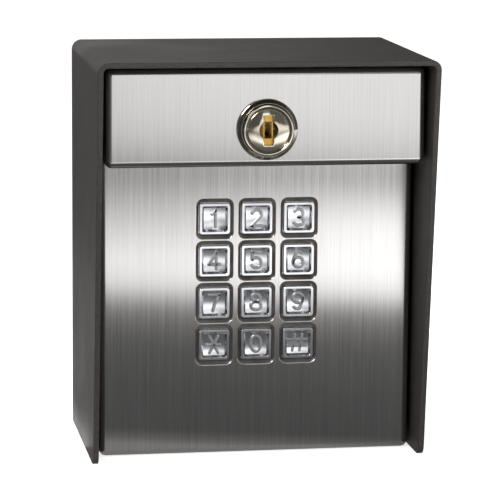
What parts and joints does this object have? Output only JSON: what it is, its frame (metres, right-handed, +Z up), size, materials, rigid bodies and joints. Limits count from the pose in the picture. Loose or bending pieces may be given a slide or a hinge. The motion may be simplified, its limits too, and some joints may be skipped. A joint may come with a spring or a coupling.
{
  "type": "access control keypad with key lock",
  "caption": "Wall-mounted keyed access control keypad: raked steel hood over a hinged, stepped stainless faceplate with a round key lock and a square-key number pad.",
  "frame": {"origin": "middle of the hood's width and greatest depth, on the plane of its bottom edges", "axes": "+X to the right as seen from the front, +Y into the wall, +Z up"},
  "size_m": [0.15, 0.11, 0.181],
  "materials": {
    "powder_coat": "satin black powder coat with a fine texture",
    "brushed_stainless": "upright brushed grain",
    "stainless": "plain mill finish",
    "plated_steel": "zinc plated",
    "chrome": "polished nickel chrome",
    "key_chrome": "bright chrome over die-cast zinc",
    "brass": "plain brass",
    "rubber": "matt black rubber",
    "foam": "closed-cell foam",
    "silicone": "grey silicone rubber",
    "black_plastic": "moulded black plastic",
    "board": "green solder mask",
    "green_plastic": "moulded green nylon",
    "blue_plastic": "moulded blue plastic"
  },
  "bodies": {
    "hood": {"hood_wrap": "powder_coat", "back_plate": "powder_coat", "cable_grommet": "rubber", "strike_bracket": "plated_steel", "stop_rail_left": "powder_coat", "stop_rail_right": "powder_coat", "seal_left": "foam", "seal_right": "foam", "hinge_rail": "powder_coat", "hinge_leaf_fixed": "stainless", "hinge_pin": "stainless", "hinge_screws": "plated_steel", "earth_stud": "brass", "earth_nut": "brass"},
    "faceplate": {"backing_plate": "plated_steel", "board_screws": "plated_steel", "board_standoffs": "brass", "control_board": "board", "faceplate": "brushed_stainless", "hinge_leaf_moving": "stainless", "key_mat": "silicone", "keypad_board": "board", "keypad_frame": "black_plastic", "keypad_nuts": "plated_steel", "keypad_studs": "plated_steel", "lock_bezel": "chrome", "lock_body": "chrome", "lock_nut": "plated_steel", "lock_washer": "plated_steel", "microcontroller": "black_plastic", "relays": "blue_plastic", "sounder": "black_plastic", "terminal_block": "green_plastic"},
    "lock_plug": {"lock_plug": "chrome", "plug_wafers": "brass", "lock_cam": "plated_steel", "cam_screw": "plated_steel"},
    "key_0": {"key_0": "key_chrome"},
    "key_1": {"key_1": "key_chrome"},
    "key_2": {"key_2": "key_chrome"},
    "key_3": {"key_3": "key_chrome"},
    "key_4": {"key_4": "key_chrome"},
    "key_5": {"key_5": "key_chrome"},
    "key_6": {"key_6": "key_chrome"},
    "key_7": {"key_7": "key_chrome"},
    "key_8": {"key_8": "key_chrome"},
    "key_9": {"key_9": "key_chrome"},
    "key_hash": {"key_hash": "key_chrome"},
    "key_star": {"key_star": "key_chrome"}
  },
  "joints": [
    {"name": "faceplate_hinge", "type": "hinge", "parent": "hood", "child": "faceplate", "pos_m": [0, -0.0164, 0.0055], "axis": [1, 0, 0], "range_deg": [0, 80]},
    {"name": "plug_turn", "type": "hinge", "parent": "faceplate", "child": "lock_plug", "pos_m": [0, -0.044, 0.1505], "axis": [0, 1, 0], "range_deg": [0, 90]},
    {"name": "key_0_press", "type": "slide", "parent": "faceplate", "child": "key_0", "axis": [0, 1, 0], "range_m": [0, 0.0012], "stiffness_N_per_m": 900},
    {"name": "key_1_press", "type": "slide", "parent": "faceplate", "child": "key_1", "axis": [0, 1, 0], "range_m": [0, 0.0012], "stiffness_N_per_m": 900},
    {"name": "key_2_press", "type": "slide", "parent": "faceplate", "child": "key_2", "axis": [0, 1, 0], "range_m": [0, 0.0012], "stiffness_N_per_m": 900},
    {"name": "key_3_press", "type": "slide", "parent": "faceplate", "child": "key_3", "axis": [0, 1, 0], "range_m": [0, 0.0012], "stiffness_N_per_m": 900},
    {"name": "key_4_press", "type": "slide", "parent": "faceplate", "child": "key_4", "axis": [0, 1, 0], "range_m": [0, 0.0012], "stiffness_N_per_m": 900},
    {"name": "key_5_press", "type": "slide", "parent": "faceplate", "child": "key_5", "axis": [0, 1, 0], "range_m": [0, 0.0012], "stiffness_N_per_m": 900},
    {"name": "key_6_press", "type": "slide", "parent": "faceplate", "child": "key_6", "axis": [0, 1, 0], "range_m": [0, 0.0012], "stiffness_N_per_m": 900},
    {"name": "key_7_press", "type": "slide", "parent": "faceplate", "child": "key_7", "axis": [0, 1, 0], "range_m": [0, 0.0012], "stiffness_N_per_m": 900},
    {"name": "key_8_press", "type": "slide", "parent": "faceplate", "child": "key_8", "axis": [0, 1, 0], "range_m": [0, 0.0012], "stiffness_N_per_m": 900},
    {"name": "key_9_press", "type": "slide", "parent": "faceplate", "child": "key_9", "axis": [0, 1, 0], "range_m": [0, 0.0012], "stiffness_N_per_m": 900},
    {"name": "key_hash_press", "type": "slide", "parent": "faceplate", "child": "key_hash", "axis": [0, 1, 0], "range_m": [0, 0.0012], "stiffness_N_per_m": 900},
    {"name": "key_star_press", "type": "slide", "parent": "faceplate", "child": "key_star", "axis": [0, 1, 0], "range_m": [0, 0.0012], "stiffness_N_per_m": 900}
  ]
}
